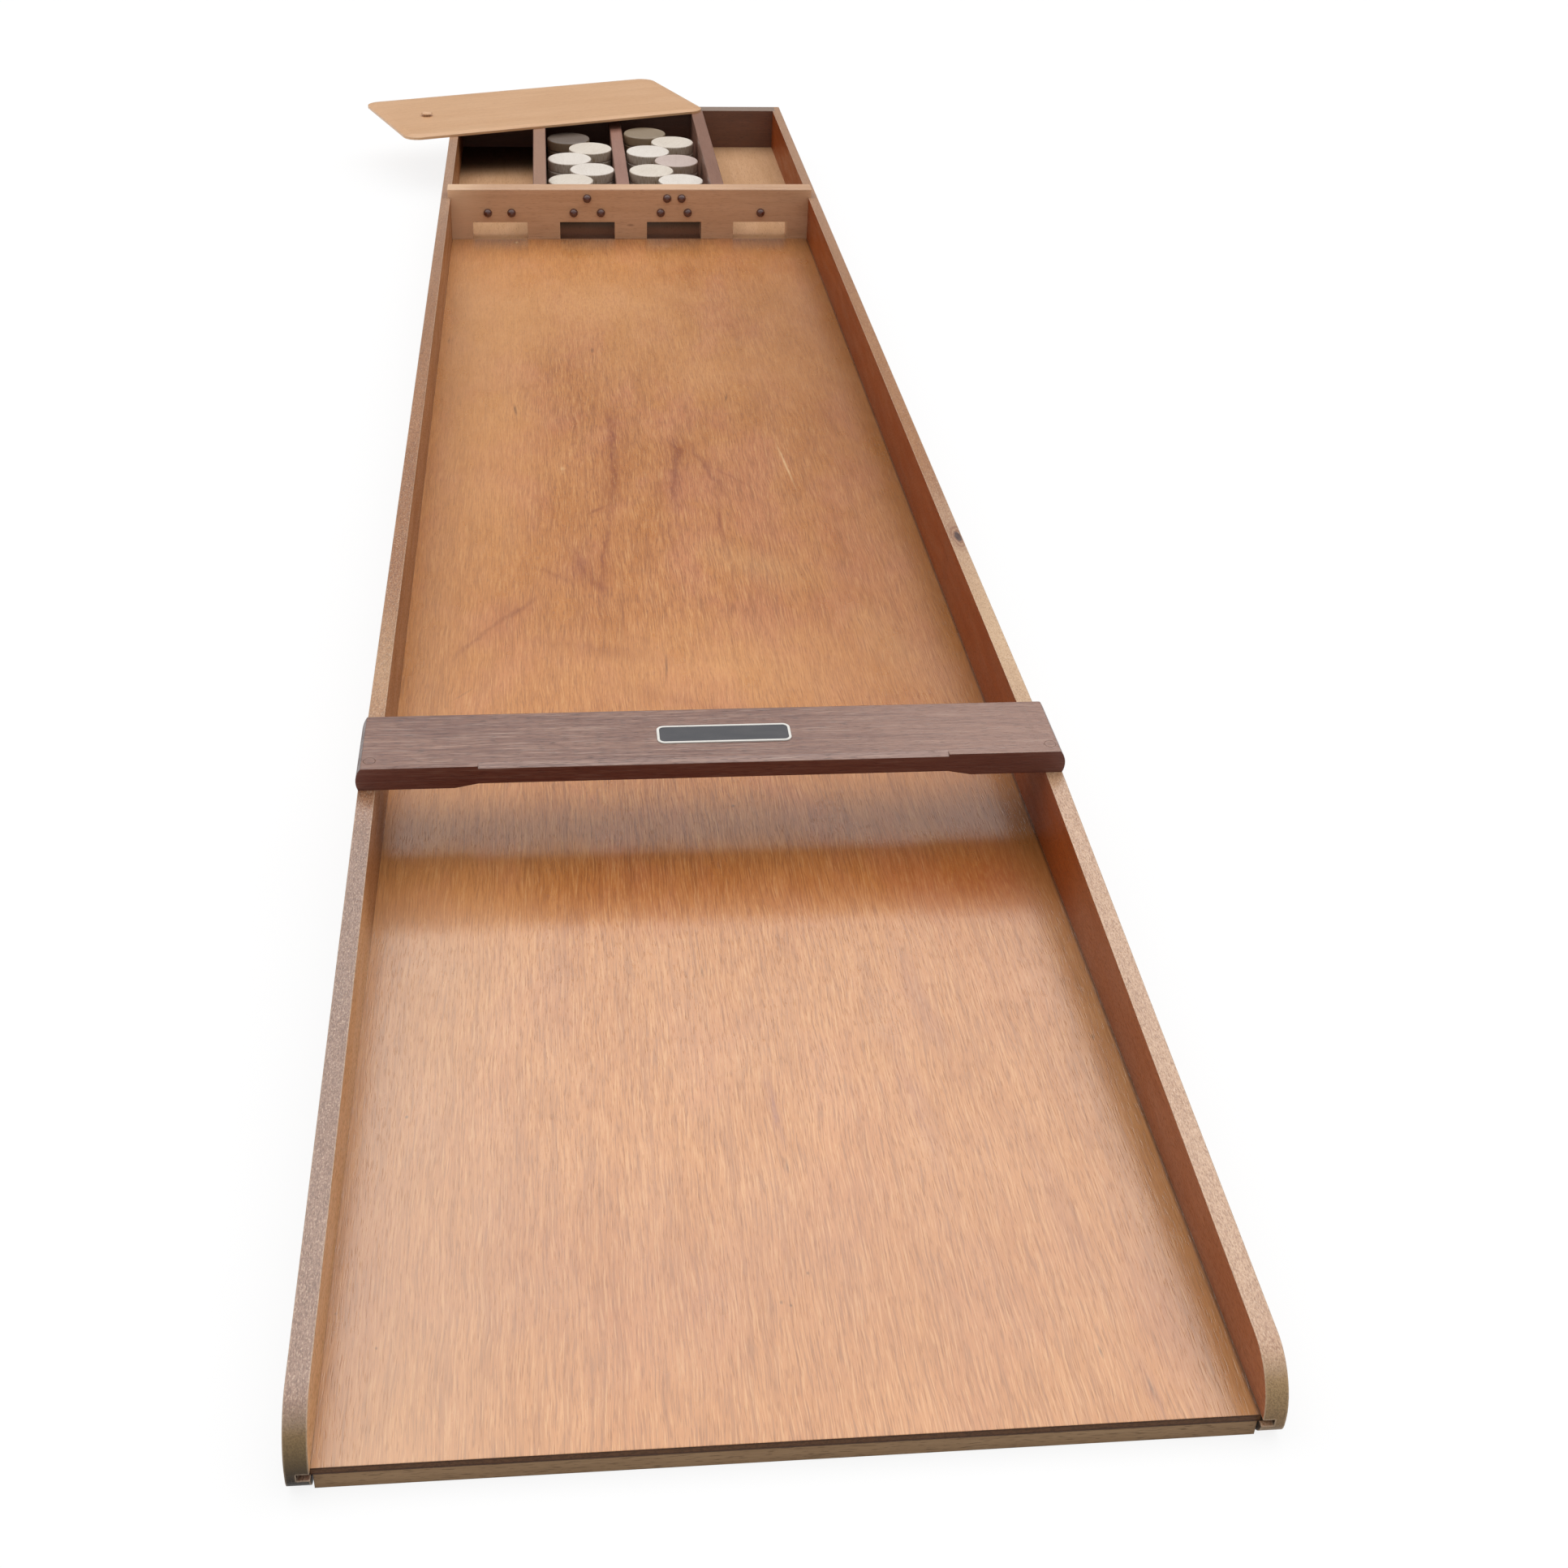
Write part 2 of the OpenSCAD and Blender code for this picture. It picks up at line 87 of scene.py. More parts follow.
class Graph:
    """A node tree with short calls for the nodes that the finishes use.

    Sizes and marks are in millimetres, places in metres, and tones are written as #rrggbb.
    """

    def __init__(self, tree):
        self.tree = tree
        self.tree.nodes.clear()

    def node(self, kind, inputs=None, **settings):
        made = self.tree.nodes.new(kind)
        for key, value in settings.items():
            setattr(made, key, value)
        for key, value in (inputs or {}).items():
            if isinstance(value, bpy.types.NodeSocket):
                self.tree.links.new(value, made.inputs[key])
            else:
                made.inputs[key].default_value = value
        return made

    def math(self, operation, a, b=0.0):
        return self.node("ShaderNodeMath", {0: a, 1: b}, operation=operation).outputs[0]

    def add(self, a, b):
        return self.math("ADD", a, b)

    def times(self, a, b):
        return self.math("MULTIPLY", a, b)

    def scaled_sum(self, base, *terms):
        """base plus share * (value - 0.5) for each (value, share)."""
        total = base
        for value, share in terms:
            total = self.node("ShaderNodeMath", {0: value, 1: share, 2: self.add(total, -share / 2)},
                              operation="MULTIPLY_ADD").outputs[0]
        return total

    def step(self, value, low, high, to_low=0.0, to_high=1.0):
        """Smooth step from to_low at low to to_high at high, where low may be the larger."""
        made = self.node("ShaderNodeMapRange", {"Value": value, "From Min": low, "From Max": high,
                                                "To Min": to_low, "To Max": to_high},
                         interpolation_type="SMOOTHSTEP")
        return made.outputs[0]

    def noise(self, place, size, detail=2.0, rough=0.5, warp=0.0):
        """Noise whose blobs are about size = (x, y, z)."""
        scaled = self.node("ShaderNodeMapping", {"Vector": place, "Scale": [1 / (s * MM) for s in size]})
        made = self.node("ShaderNodeTexNoise", {
            "Vector": scaled.outputs[0], "Scale": 1.0, "Detail": detail, "Roughness": rough,
            "Distortion": warp})
        return made.outputs["Fac"]

    def drift(self, place, size, low, high):
        """A value that drifts between low and high in soft patches of about size."""
        return self.step(self.noise(place, size, detail=3.0), 0.3, 0.7, low, high)

    def mix(self, share, a, b, blend="MIX"):
        made = self.node("ShaderNodeMix", {0: share, 6: a, 7: b}, data_type="RGBA", blend_type=blend)
        return made.outputs[2]

    def tint(self, colour, share, tone):
        """colour with a share of tone."""
        return self.mix(share, colour, rgb(tone))

    def shade(self, colour, value, low, high, share, tone):
        """colour that takes on up to a share of tone as value goes from low to high."""
        return self.tint(colour, self.step(value, low, high, 0.0, share), tone)

    def ramp(self, value, tones):
        """Tones spread evenly from value 0 to 1."""
        made = self.node("ShaderNodeValToRGB", {"Fac": value})
        stops = made.color_ramp.elements
        while len(stops) < len(tones):
            stops.new(0.5)
        for i, tone in enumerate(tones):
            stops[i].position = i / (len(tones) - 1)
            stops[i].color = rgb(tone)
        return made.outputs["Color"]

    def place(self):
        """Place in the object's own coordinates, which are those of the board."""
        return self.node("ShaderNodeTexCoord").outputs["Object"]

    def split(self, vector):
        """X, Y and Z of a vector."""
        return self.node("ShaderNodeSeparateXYZ", {0: vector}).outputs[:]

    def spot(self, place, x, y, turn, half_width, half_length):
        """1 at (x, y), falling to 0 at the edge of an ellipse that is long along Y before its turn."""
        local = self.node("ShaderNodeMapping", {
            "Vector": place, "Location": (x * MM, y * MM, 0), "Rotation": (0, 0, math.radians(turn)),
            "Scale": (half_width * MM, half_length * MM, 1)}, vector_type="TEXTURE")
        made = self.node("ShaderNodeTexGradient", {"Vector": local.outputs[0]}, gradient_type="SPHERICAL")
        return made.outputs["Fac"]

    def facing(self, axis):
        """How squarely the surface faces along one axis of the object, either way."""
        normal = self.node("ShaderNodeTexCoord").outputs["Normal"]
        return self.math("ABSOLUTE", self.split(normal)[axis])

    def faces(self, axis, cut=FACE_CUT):
        """1 on faces that look along one axis, either way, and 0 on the others."""
        return self.step(self.facing(axis), *cut)


def new_graph(name):
    material = bpy.data.materials.new(name)
    material.use_nodes = True
    g = Graph(material.node_tree)
    g.material = material
    return g


EDGE_SOFTNESS = 0.9  # radius in millimetres to which sharp edges are rounded in the shading
EDGE_WEAR = 1.2  # how far from a sharp edge, in millimetres, the wood is worn pale
BEVEL_SAMPLES = 4


def finish(g, colour, roughness, height, depth, coat=0.0, coat_roughness=0.2, specular=0.5,
           metallic=0.0, edge=EDGE_SOFTNESS):
    """Ends a material: colour and roughness, a bump of depth millimetres, and a coat of varnish."""
    soft = g.node("ShaderNodeBevel", {"Radius": edge * MM}, samples=BEVEL_SAMPLES).outputs[0]
    normal = g.node("ShaderNodeBump", {"Height": height, "Distance": depth * MM, "Strength": 1.0,
                                       "Normal": soft}).outputs[0]
    shader = g.node("ShaderNodeBsdfPrincipled", {
        "Base Color": colour, "Roughness": roughness, "Specular IOR Level": specular, "Normal": normal,
        "Metallic": metallic, "Coat Weight": coat, "Coat Roughness": coat_roughness,
        "Coat Normal": normal})
    g.node("ShaderNodeOutputMaterial", {"Surface": shader.outputs[0]})
    return g.material


def worn_edges(g, colour, share, tone):
    """Adds a share of tone on sharp edges."""
    round_normal = g.node("ShaderNodeBevel", {"Radius": EDGE_WEAR * MM}, samples=BEVEL_SAMPLES).outputs[0]
    true_normal = g.node("ShaderNodeNewGeometry").outputs["True Normal"]
    same = g.node("ShaderNodeVectorMath", {0: round_normal, 1: true_normal}, operation="DOT_PRODUCT")
    sharp = g.step(same.outputs["Value"], 0.995, 0.86)
    return g.tint(colour, g.times(sharp, share), tone)


# Wood
QUARTER = math.pi / 2
GRAIN_TURNS = {"y": 0, "x": QUARTER}
THIN = 0.05  # varnish on faces that hardly shine


def grain_place(g, along, turn=0.0, shift=0.0):
    """Object coordinates turned so that the grain runs along Y; shift tells like pieces apart."""
    turned = g.node("ShaderNodeMapping", {
        "Vector": g.place(), "Rotation": (0, 0, GRAIN_TURNS[along] + turn), "Location": (shift, 0, shift)})
    return turned.outputs[0]


def wavy(g, place, size=(70, 260, 70), reach=5.0):
    """place pushed sideways by up to about reach millimetres, so that what lies there wanders."""
    push = g.noise(place, size)
    offset = g.node("ShaderNodeCombineXYZ", {0: g.scaled_sum(0.0, (push, 2 * reach * MM))})
    return g.node("ShaderNodeVectorMath", {0: place, 1: offset.outputs[0]}, operation="ADD").outputs[0]


def grain(g, place, tones, streak, cloud, shares, pore_share, pore_tone, pore=(0.55, 8),
          pore_cut=(0.57, 0.70), fine=(0.9, 24)):
    """Colour and height of sawn or peeled wood, and its pores.

    streak, cloud, fine and pore are each (width, length); shares are those of the first three.
    """
    way = wavy(g, place)
    streaks = g.noise(way, (streak[0], streak[1], streak[0]), detail=3.0, rough=0.6)
    clouds = g.noise(place, (cloud[0], cloud[1], cloud[0]), detail=3.0, warp=0.4)
    lines = g.noise(way, (fine[0], fine[1], fine[0]), rough=0.6)
    tone = g.scaled_sum(0.5, (streaks, shares[0]), (clouds, shares[1]), (lines, shares[2]))
    pores = g.step(g.noise(way, (pore[0], pore[1], pore[0]), detail=1.0), *pore_cut)
    colour = g.tint(g.ramp(tone, tones), g.times(pores, pore_share), pore_tone)
    height = g.add(g.times(lines, 0.5), g.times(pores, -1.0))
    return colour, height, pores


def satin(g, place, patch, low, high, pores, rise):
    """Roughness of satin varnish: it drifts from low to high in patches and rises in the pores."""
    return g.add(g.drift(place, patch, low, high), g.times(pores, rise))


def stained(g, colour, place, marks, tone, reach):
    """Adds soft marks (x, y, turn, half width, half length, strength) whose outlines wander by reach."""
    way = wavy(g, place, size=(14, 22, 14), reach=reach)
    total = 0.0
    for x, y, turn, half_width, half_length, strength in marks:
        spot = g.spot(way, x, y, turn, half_width, half_length)
        total = g.add(g.times(spot, strength), total)
    grit = g.noise(place, (1.2, 7, 1.2))
    share = g.times(total, g.step(grit, 0.3, 0.7, 0.65, 1.25))
    return g.tint(colour, g.math("MINIMUM", share, 0.9), tone)


def knotted(g, colour, place, x, y, half_width, half_length):
    """Adds a knot: a ringed halo round a dark core."""
    halo = g.spot(wavy(g, place, (9, 16, 9), 3.0), x, y, 0, 2.6 * half_width, 2.8 * half_length)
    rings = g.math("SINE", g.times(halo, 30.0))
    swirl = g.times(g.step(halo, 0.0, 0.6), g.step(rings, -0.6, 0.8, 0.25, 0.7))
    colour = g.tint(colour, swirl, "#7c4830")
    core = g.spot(wavy(g, place, (5, 9, 5), 1.6), x, y, 0, half_width, half_length)
    return g.shade(colour, core, 0.1, 0.45, 0.92, "#3a1a18")


# Marks on the lane: x and y from the board's middle, turn in degrees, half width, half length, strength
LANE_FIGURES = [
    (-41, 0, -2, 5, 130, 0.62), (-42, 75, 0, 3, 45, 0.35), (-52, -165, -5, 3, 95, 0.50),
    (-56, -101, -48, 3, 16, 0.50), (10, -45, -3, 7, 95, 0.60), (14, 16, 0, 6, 36, 0.45),
    (0, -150, 0, 4, 42, 0.40), (37, -21, 12, 5, 76, 0.55), (40, -122, 0, 2.5, 86, 0.50),
    (56, -40, 35, 3, 40, 0.30), (-75, -193, 2, 10, 36, 0.50), (-62, -226, 20, 8, 32, 0.50),
    (-92, -214, 47, 7, 28, 0.35), (-149, -313, -30, 4, 40, 0.60), (-121, -271, -37, 5, 36, 0.70),
    (135, -201, 5, 2, 42, 0.30), (-60, -330, 70, 22, 70, 0.22), (-20, -395, 60, 16, 60, 0.20),
]
LANE_HALOS = [(x, y, turn, 3.0 * w + 3, h, 0.36 * s) for x, y, turn, w, h, s in LANE_FIGURES]
LANE_CORES = [(x, y, turn, 0.6 * w + 1.0, h, 0.9 * s) for x, y, turn, w, h, s in LANE_FIGURES]
LANE_SPECKS = [
    (-124, 108, 4, 1.8, 16, 0.8), (67, 132, -9, 1.6, 14, 0.7), (-190, 283, 0, 2.2, 10, 0.6),
    (-52, 254, 0, 2.0, 9, 0.6), (-155, -386, -40, 1.4, 11, 0.5), (-16, -354, -3, 1.3, 22, 0.6),
    (15, -528, 0, 1.3, 2.2, 0.9), (-170, -792, 0, 1.1, 1.5, 0.9), (186, -753, 0, 1.1, 3, 0.8),
    (2, -920, 0, 1.0, 1.5, 0.9), (6, -922, 0, 0.8, 1.2, 0.9), (16, -904, 0, 0.8, 1.2, 0.8),
    (-175, -934, 0, 0.9, 1.1, 0.9), (-194, -914, 0, 0.8, 1.0, 0.8), (-16, -688, 2, 1.0, 8, 0.6),
    (14, -836, 0, 1.0, 7, 0.6), (155, -976, 6, 1.2, 10, 0.5), (138, -956, 4, 0.9, 5, 0.6),
]
LANE_BRUISES = [
    (12, -796, 3, 4, 34, 0.55), (12, -800, 0, 2, 12, 0.5), (100, -720, 8, 9, 70, 0.30),
    (84, -800, 6, 8, 80, 0.30), (155, -976, 5, 4, 26, 0.45), (172, -935, 0, 16, 60, 0.30),
    (-120, -850, 0, 22, 90, 0.16), (-95, -700, 0, 16, 70, 0.14), (140, -860, 5, 10, 70, 0.22),
    (-40, -900, 0, 260, 80, 0.22),
]
LANE_LIGHTS = [
    (-127, 586, 0, 2.2, 4, 1.0), (105, -19, 4, 1.3, 60, 0.7), (-84, -20, 0, 2.5, 5, 0.4),
    (60, -200, 50, 30, 70, 0.12), (150, -330, 20, 30, 90, 0.12),
]
LANE_FADES = [
    (-50, 390, 0, 170, 190, 0.7), (10, -360, 0, 180, 90, 0.5), (-140, 60, 0, 60, 300, 0.35),
    (60, 200, 0, 140, 120, 0.4), (30, 545, 0, 190, 60, 0.3), (-165, 360, 0, 70, 330, 0.4),
    (160, 390, 0, 80, 300, 0.28),
]
# Painted shade: a redder band in front of the throwing bar, where its shadow falls and it hides the sheen
LANE_BAR_SHADE = [(165, -612, 0, 85, 48, 0.60), (20, -612, 0, 330, 48, 0.32)]

# Layers of marks from the lowest up, the last of them painted shade: marks, tone, how far their outlines
# wander
LANE_LAYERS = [
    (LANE_FADES, "#dca069", 5.0), (LANE_HALOS, "#8f3c18", 5.0), (LANE_CORES, "#742a08", 5.0),
    (LANE_BRUISES, "#8d5144", 3.0), (LANE_SPECKS, "#3c1f12", 0.6), (LANE_LIGHTS, "#f0cfa6", 1.0),
    (LANE_BAR_SHADE, "#963f12", 1.0),
]


# Where the lane and the box floor change: each begins at one place and is complete at the other
LANE_NEAR = (-560 * MM, -680 * MM)  # paler towards the player
LANE_RIGHT_SHADE = (-20 * MM, lane_half)  # painted shade, browner towards the right rail
LANE_LEFT_LIGHT = (-60 * MM, -lane_half)  # painted light, paler towards the left rail
LANE_SHADE_STRIP = (lane_half - 34 * MM, lane_half)  # painted shade: a duller strip along the right rail
LANE_FOOT_SHADE = (lane_half - 2.2 * MM, lane_half - 0.4 * MM)  # painted shade: a dark line at the right rail's foot
LANE_TONGUE = (lane_half - 0.2 * MM, lane_half + 0.2 * MM)  # edge of the panel, in the rails' grooves
LANE_BARE = (gate_face - 3 * MM, gate_face + 3 * MM)  # end of the varnish
GATE_SHADE_EDGE = (103 * MM, 91 * MM)  # sides of the painted shade on the floor behind the two middle gates
GATE_SHADE_DEEP = (622 * MM, 662 * MM)  # that painted shade, darker away from the gates
LID_SHADE_EDGE = (-97 * MM, -105 * MM)  # side of the painted shade on the left compartment's floor, under the lid
LID_SHADE_DEEP = (825 * MM, 905 * MM)  # that painted shade, darker towards the back
FAR_LESS_SHEEN = (1.0, 0.97, 0.84, 1.0)  # factor of the colour where the lane isn't near the player: less blue, painted against the sheen there
PLY = 2 * MM  # thickness of one layer of the plywood
PLY_TONES = ("#4a3020", "#5c3f2a", "#3a2719")


def painted_box_shade(g, across, along, colour):
    """colour, with painted shade on the floor of the box: dark brown behind the two middle gates, and
    darker towards the back of the left compartment, under the lid.
    """
    # painted shade behind the two middle gates
    gate_shade = g.mix(g.step(along, *GATE_SHADE_DEEP), rgb("#46200b"), rgb("#120703"))
    colour = g.mix(g.step(g.math("ABSOLUTE", across), *GATE_SHADE_EDGE, 0.0, 0.95), colour, gate_shade)
    # painted shade of the lid in the left compartment
    lid_shade = g.times(g.step(across, *LID_SHADE_EDGE), g.step(along, *LID_SHADE_DEEP, 0.0, 0.85))
    return g.tint(colour, lid_shade, "#1f0f08")


def plies(g, colour):
    """Layers of plywood on the faces that look along Y."""
    place = g.place()
    layer = g.math("PINGPONG", g.add(g.split(place)[Z], -floor_top), PLY)
    edge = g.mix(g.step(layer, 0.45 * PLY, 0.55 * PLY), rgb(PLY_TONES[0]), rgb(PLY_TONES[1]))
    grit = g.noise(place, (1.6, 1.6, 0.8), detail=3.0)
    edge = g.shade(edge, grit, 0.4, 0.7, 0.6, PLY_TONES[2])
    return g.mix(g.faces(Y), colour, edge)


def lane_veneer(g, place, near):
    """The lane's grain with its blush, bands and threads, before its marks."""
    colour, height, pores = grain(
        g, place, ("#a56235", "#b9763f", "#c4834c", "#cf945d"), streak=(6, 120), cloud=(34, 80),
        shares=(0.5, 0.7, 0.25), pore=(0.7, 9), pore_share=0.35, pore_tone="#7c4526")
    blush = g.step(g.noise(place, (52, 110, 52), detail=3.0, rough=0.6), 0.46, 0.66, 0.0, 0.42)
    colour = g.tint(colour, g.times(blush, g.step(near, 0.0, 1.0, 1.0, 0.35)), "#bd7459")
    way = wavy(g, place, size=(30, 60, 30), reach=3.0)
    bands = g.noise(way, (4.5, 110, 4.5), detail=3.0, rough=0.6)
    colour = g.shade(colour, bands, 0.48, 0.70, 0.42, "#96592f")
    threads = g.noise(way, (0.85, 24, 0.85), detail=3.0, rough=0.7)
    colour = g.shade(colour, threads, 0.49, 0.66, 0.66, "#8c5630")
    colour = g.shade(colour, threads, 0.48, 0.34, 0.45, "#dcaa78")
    return colour, g.add(height, g.times(threads, 0.8)), pores


def lane_light_and_shade(g, colour, across, near):
    """Paler towards the player; painted shade towards and along the right rail, with a dark line at its
    foot; painted light towards the left rail; less blue away from the player, painted against the sheen
    there.
    """
    # painted shade towards the right rail
    right = g.times(g.step(across, *LANE_RIGHT_SHADE, 0.0, 0.38), g.step(near, 0.0, 1.0, 1.0, 0.30))
    colour = g.tint(colour, right, "#9a6130")
    colour = g.tint(colour, g.times(near, 0.13), "#d8aa70")
    # painted light towards the left rail
    left_light_tone = g.mix(near, rgb("#dba16c"), rgb("#b99a7c"))
    colour = g.mix(g.step(across, *LANE_LEFT_LIGHT, 0.0, 0.34), colour, left_light_tone)
    # less blue away from the player, painted against the sheen there
    colour = g.mix(g.step(near, 1.0, 0.0), colour, FAR_LESS_SHEEN, "MULTIPLY")
    # painted shade along the right rail and at its foot
    colour = g.shade(colour, across, *LANE_SHADE_STRIP, 0.4, "#85602f")
    return g.shade(colour, across, *LANE_FOOT_SHADE, 0.75, "#4a2a18")


def lane_plywood():
    g = new_graph("lane_plywood")
    place = grain_place(g, "y")
    across, along, _ = g.split(g.place())
    near = g.step(along, *LANE_NEAR)
    colour, height, pores = lane_veneer(g, place, near)
    for marks, tone, reach in LANE_LAYERS:
        colour = stained(g, colour, place, marks, tone, reach)
    colour = lane_light_and_shade(g, colour, across, near)
    bare = g.step(along, *LANE_BARE)
    colour = g.mix(bare, colour, painted_box_shade(g, across, along, rgb("#c59a70")))
    colour = plies(g, colour)
    colour = g.shade(colour, g.math("ABSOLUTE", across), *LANE_TONGUE, 1.0, "#33261b")
    varnish = g.times(g.step(g.facing(Y), *FACE_CUT, 1.0, THIN), g.math("SUBTRACT", 1.0, bare))
    roughness = satin(g, place, (30, 60, 30), 0.26, 0.38, pores, 0.12)
    return finish(g, colour, roughness, height, depth=0.05, coat=varnish,
                  specular=g.step(varnish, 0.0, 1.0, 0.05, 0.5))


def box_plywood():
    g = new_graph("box_plywood")
    place = grain_place(g, "y", shift=0.7)
    across, along, _ = g.split(g.place())
    colour, height, pores = grain(
        g, place, ("#a57c58", "#ba916b", "#c79e7a", "#cfaa86"), streak=(6, 90), cloud=(45, 80),
        shares=(0.5, 0.6, 0.4), pore_share=0.3, pore_tone="#7a5434")
    colour = painted_box_shade(g, across, along, colour)
    roughness = g.step(pores, 0.0, 1.0, 0.6, 0.7)
    return finish(g, colour, roughness, height, depth=0.05, specular=0.05)


# Rails: the tones of the upper faces near the player and beyond, the same for the inner face, with painted
# light on the left rail and painted shade on the right, the upper and lower tone of the front end, the
# lower one painted shade, where the upper faces change, their paler stretch, and the knots
RAILS = {
    "left": dict(
        tones=("#745543", "#8a6854", "#9c7b66"), far_tones=("#875538", "#a26d44", "#b9835c"),
        inner_tones=("#b98555", "#cf9c6a", "#deb083"), far_inner_tones=("#855433", "#9f6b43", "#b48058"),
        end_tones=("#8a7352", "#221a12"), pore_tone="#5d4234", shift=0.0,
        change=(-640 * MM, -520 * MM), pale=(-204, -430, 0, 60, 130), pale_share=0.3, knots=[]),
    "right": dict(
        tones=("#9a7152", "#b38b6b", "#c9a483"), far_tones=("#875430", "#a36c3c", "#b88456"),
        inner_tones=("#86492a", "#9b5b37", "#ad6d46"), far_inner_tones=("#7a3410", "#924518", "#a45726"),
        end_tones=("#a88c67", "#7c6242"), pore_tone="#7a4f35", shift=1.3,
        change=(-230 * MM, -110 * MM), pale=(204, -410, 0, 60, 190), pale_share=0.6,
        knots=[(204.4, -252.0, 3.6, 11.0)]),
}
RAIL_GRAIN = dict(streak=(2.6, 120), cloud=(24, 190), shares=(0.7, 0.7, 0.9), fine=(0.6, 5),
                  pore=(0.6, 3.0), pore_share=0.4, pore_cut=(0.50, 0.66))
RAIL_FAR = (150 * MM, 700 * MM)  # upper faces, paler towards the box
INNER_CHANGE = (-680 * MM, -630 * MM)  # where the inner faces change
INNER_EDGE = (lane_half + 4 * MM, lane_half + 2 * MM)  # from here inwards a side is an inner face
GROOVE_SHADE_TOP = (floor_top + 0.6 * MM, floor_top)  # painted shade in the open groove in front of the lane's near edge
GROOVE_SHADE_END = (board_front + 40 * MM, board_front + 12 * MM)
END_SHADE_HEIGHTS = (34 * MM, 6 * MM)  # where the front ends turn to their lower tone, darker towards the ground: painted shade


def rail_grain(g, place, rail, tones):
    return grain(g, place, rail[tones], pore_tone=rail["pore_tone"], **RAIL_GRAIN)


def rail_top(g, place, along, rail):
    """Colour, height and pores of the upper faces, with dark and light grit on them."""
    colour, height, pores = rail_grain(g, place, rail, "tones")
    far = rail_grain(g, place, rail, "far_tones")[0]
    colour = g.mix(g.step(along, *rail["change"]), colour, far)
    colour = g.shade(colour, along, *RAIL_FAR, 0.35, "#cda88c")
    pale = g.times(g.spot(g.place(), *rail["pale"]), rail["pale_share"])
    colour = g.tint(colour, pale, "#dcbb92")
    grit = g.noise(place, (0.7, 1.6, 0.7), detail=3.0, rough=0.8)
    colour = g.shade(colour, grit, 0.52, 0.66, 0.55, rail["pore_tone"])
    return g.shade(colour, grit, 0.48, 0.34, 0.45, "#dcc0a6"), height, pores


# Inner faces: the wood's tones with painted light on the left rail and painted shade on the right rail
def rail_inner_light_and_shade(g, place, along, rail):
    near = rail_grain(g, place, rail, "inner_tones")[0]
    far = rail_grain(g, place, rail, "far_inner_tones")[0]
    return g.mix(g.step(along, *INNER_CHANGE), near, far)


def rail_end(g, up, rail):
    upper, lower = rail["end_tones"]
    # the end grain's tone, darker towards the ground as painted shade
    end = g.mix(g.step(up, *END_SHADE_HEIGHTS), rgb(upper), rgb(lower))
    return g.shade(end, g.noise(g.place(), (0.6, 0.6, 0.9)), 0.4, 0.65, 0.4, "#4a3a29")


def rail_wood(side, rail):
    g = new_graph("rail_wood_" + side)
    place = grain_place(g, "y", shift=rail["shift"])
    across, along, up = g.split(g.place())
    colour, height, pores = rail_top(g, place, along, rail)
    inside = g.step(g.math("ABSOLUTE", across), *INNER_EDGE)
    # inner faces take their own tones: painted light on the left rail, painted shade on the right
    colour = g.mix(g.times(inside, g.faces(X)), colour, rail_inner_light_and_shade(g, place, along, rail))
    for knot in rail["knots"]:
        colour = knotted(g, colour, g.place(), *knot)
    # painted shade in the open groove
    groove_shade = g.times(g.times(g.faces(X), g.step(up, *GROOVE_SHADE_TOP)), g.step(along, *GROOVE_SHADE_END))
    colour = g.tint(colour, groove_shade, "#3c2d1e")
    colour = g.mix(g.faces(Y, ROUND_CUT), colour, rail_end(g, up, rail))
    colour = worn_edges(g, colour, 0.6, "#e2c6aa")
    varnish = g.step(g.math("MAXIMUM", g.facing(X), g.facing(Y)), *FACE_CUT, 0.9, THIN)
    roughness = satin(g, place, (12, 60, 12), 0.30, 0.42, pores, 0.12)
    return finish(g, colour, roughness, height, depth=0.06, coat=varnish, coat_roughness=0.25,
                  specular=g.step(varnish, 0.0, 0.9, 0.12, 0.45))


def batten_wood():
    g = new_graph("batten_wood")
    place = grain_place(g, "x", shift=0.2)
    colour, height, pores = grain(
        g, place, ("#755b41", "#896d50", "#9b7f60"), streak=(2.5, 90), cloud=(8, 60),
        shares=(0.7, 0.5, 0.5), pore=(0.5, 6), pore_share=0.5, pore_tone="#4a3626")
    roughness = g.step(pores, 0.0, 1.0, 0.5, 0.65)
    return finish(g, colour, roughness, height, depth=0.08, specular=0.12)


# Throwing bar and gate bar
SMALL_PATCH = (8, 60, 8)  # size of the patches of gloss on the narrow pieces
BAR_LEFT_END = (-140 * MM, -lane_half)  # front of the throwing bar, paler towards its left end
GATE_LEFT_LIGHT = (-150 * MM, -lane_half)  # gate bar, paler towards its left end: painted light
# knot and worn patch on the gate bar's front: x, height, turn, half width, half height
GATE_KNOT = (0, 28, 0, 9, 3)
GATE_WORN = (-42, 51, 0, 9, 6)
# paler stretch of its top: x, y, turn, half width, half length
GATE_LIGHT = (25, gate_face / MM + 10, 0, 120, 60)


